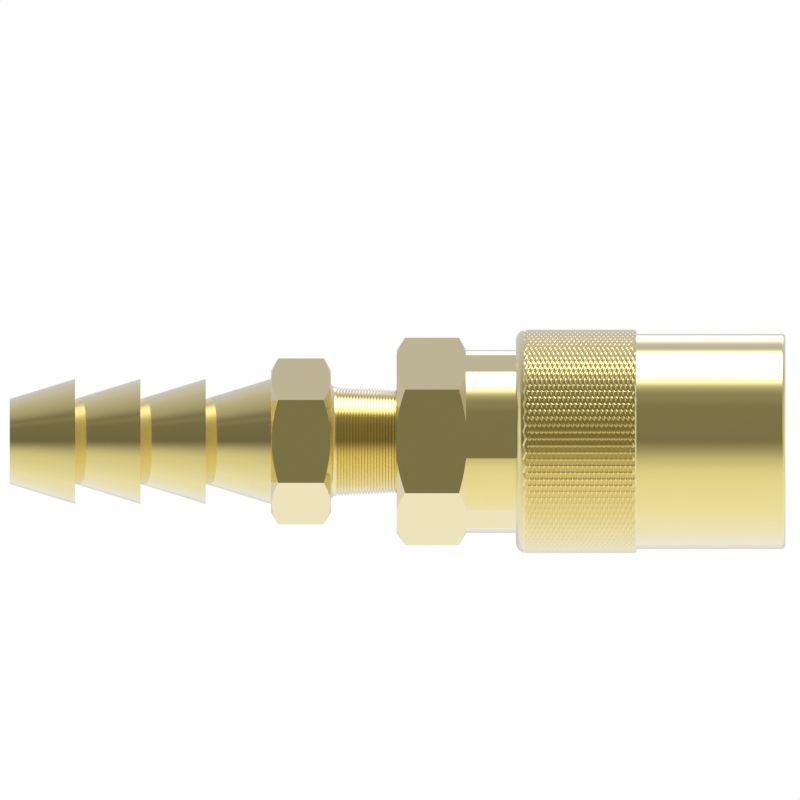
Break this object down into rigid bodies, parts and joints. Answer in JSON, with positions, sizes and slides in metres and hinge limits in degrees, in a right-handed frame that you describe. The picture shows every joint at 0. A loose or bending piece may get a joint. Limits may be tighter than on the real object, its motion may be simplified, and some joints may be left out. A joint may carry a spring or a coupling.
{
  "type": "female quick coupling",
  "caption": "Brass female quick coupling with a knurled release sleeve, ball lock, shut-off valve, two hexagons and a barbed hose stem.",
  "frame": {"origin": "centre of the mouth face, where the male plug goes in", "axes": "+Z along the coupling's axis from the mouth towards the hose; one pair of flats of both hexagons faces -Y and +Y"},
  "size_m": [0.0249, 0.0248, 0.0863],
  "materials": {
    "brass": "bright turned brass, uncoated",
    "spring_steel": "drawn stainless spring steel",
    "polished_steel": "polished bearing balls",
    "seal_rubber": "black nitrile rubber"
  },
  "bodies": {
    "coupler_body": {"hose_stem": "brass", "rear_body": "brass", "ball_cage": "brass", "valve_guide": "brass", "plug_seal": "seal_rubber", "body_seal": "seal_rubber", "sleeve_spring": "spring_steel", "valve_spring": "spring_steel"},
    "ring": {"retaining_ring": "spring_steel"},
    "sleeve": {"release_sleeve": "brass"},
    "valve": {"valve_poppet": "brass", "poppet_seal": "seal_rubber"},
    "ball_1": {"locking_ball_1": "polished_steel"},
    "ball_2": {"locking_ball_2": "polished_steel"},
    "ball_3": {"locking_ball_3": "polished_steel"},
    "ball_4": {"locking_ball_4": "polished_steel"},
    "ball_5": {"locking_ball_5": "polished_steel"},
    "ball_6": {"locking_ball_6": "polished_steel"},
    "ball_7": {"locking_ball_7": "polished_steel"},
    "ball_8": {"locking_ball_8": "polished_steel"}
  },
  "joints": [
    {"name": "sleeve_spin", "type": "hinge", "parent": "coupler_body", "child": "ring", "pos_m": [0, 0, 0.0017], "axis": [0, 0, 1], "continuous": true},
    {"name": "sleeve_slide", "type": "slide", "parent": "ring", "child": "sleeve", "axis": [0, 0, 1], "range_m": [0, 0.0045], "stiffness_N_per_m": 420, "springref_m": -0.019, "deforming": ["sleeve_spring"]},
    {"name": "valve_slide", "type": "slide", "parent": "coupler_body", "child": "valve", "axis": [0, 0, 1], "range_m": [0, 0.004], "stiffness_N_per_m": 980, "springref_m": -0.005, "deforming": ["valve_spring"]},
    {"name": "ball_1_slide", "type": "slide", "parent": "coupler_body", "child": "ball_1", "axis": [1, 0, 0], "range_m": [0, 0.0009]},
    {"name": "ball_2_slide", "type": "slide", "parent": "coupler_body", "child": "ball_2", "axis": [0.7071, 0.7071, 0], "range_m": [0, 0.0009]},
    {"name": "ball_3_slide", "type": "slide", "parent": "coupler_body", "child": "ball_3", "axis": [0, 1, 0], "range_m": [0, 0.0009]},
    {"name": "ball_4_slide", "type": "slide", "parent": "coupler_body", "child": "ball_4", "axis": [-0.7071, 0.7071, 0], "range_m": [0, 0.0009]},
    {"name": "ball_5_slide", "type": "slide", "parent": "coupler_body", "child": "ball_5", "axis": [-1, 0, 0], "range_m": [0, 0.0009]},
    {"name": "ball_6_slide", "type": "slide", "parent": "coupler_body", "child": "ball_6", "axis": [-0.7071, -0.7071, 0], "range_m": [0, 0.0009]},
    {"name": "ball_7_slide", "type": "slide", "parent": "coupler_body", "child": "ball_7", "axis": [0, -1, 0], "range_m": [0, 0.0009]},
    {"name": "ball_8_slide", "type": "slide", "parent": "coupler_body", "child": "ball_8", "axis": [0.7071, -0.7071, 0], "range_m": [0, 0.0009]}
  ],
  "couplings": [
    {"joint": "ball_1_slide", "follows": "sleeve_slide", "ratio": 0.2},
    {"joint": "ball_2_slide", "follows": "sleeve_slide", "ratio": 0.2},
    {"joint": "ball_3_slide", "follows": "sleeve_slide", "ratio": 0.2},
    {"joint": "ball_4_slide", "follows": "sleeve_slide", "ratio": 0.2},
    {"joint": "ball_5_slide", "follows": "sleeve_slide", "ratio": 0.2},
    {"joint": "ball_6_slide", "follows": "sleeve_slide", "ratio": 0.2},
    {"joint": "ball_7_slide", "follows": "sleeve_slide", "ratio": 0.2},
    {"joint": "ball_8_slide", "follows": "sleeve_slide", "ratio": 0.2}
  ]
}
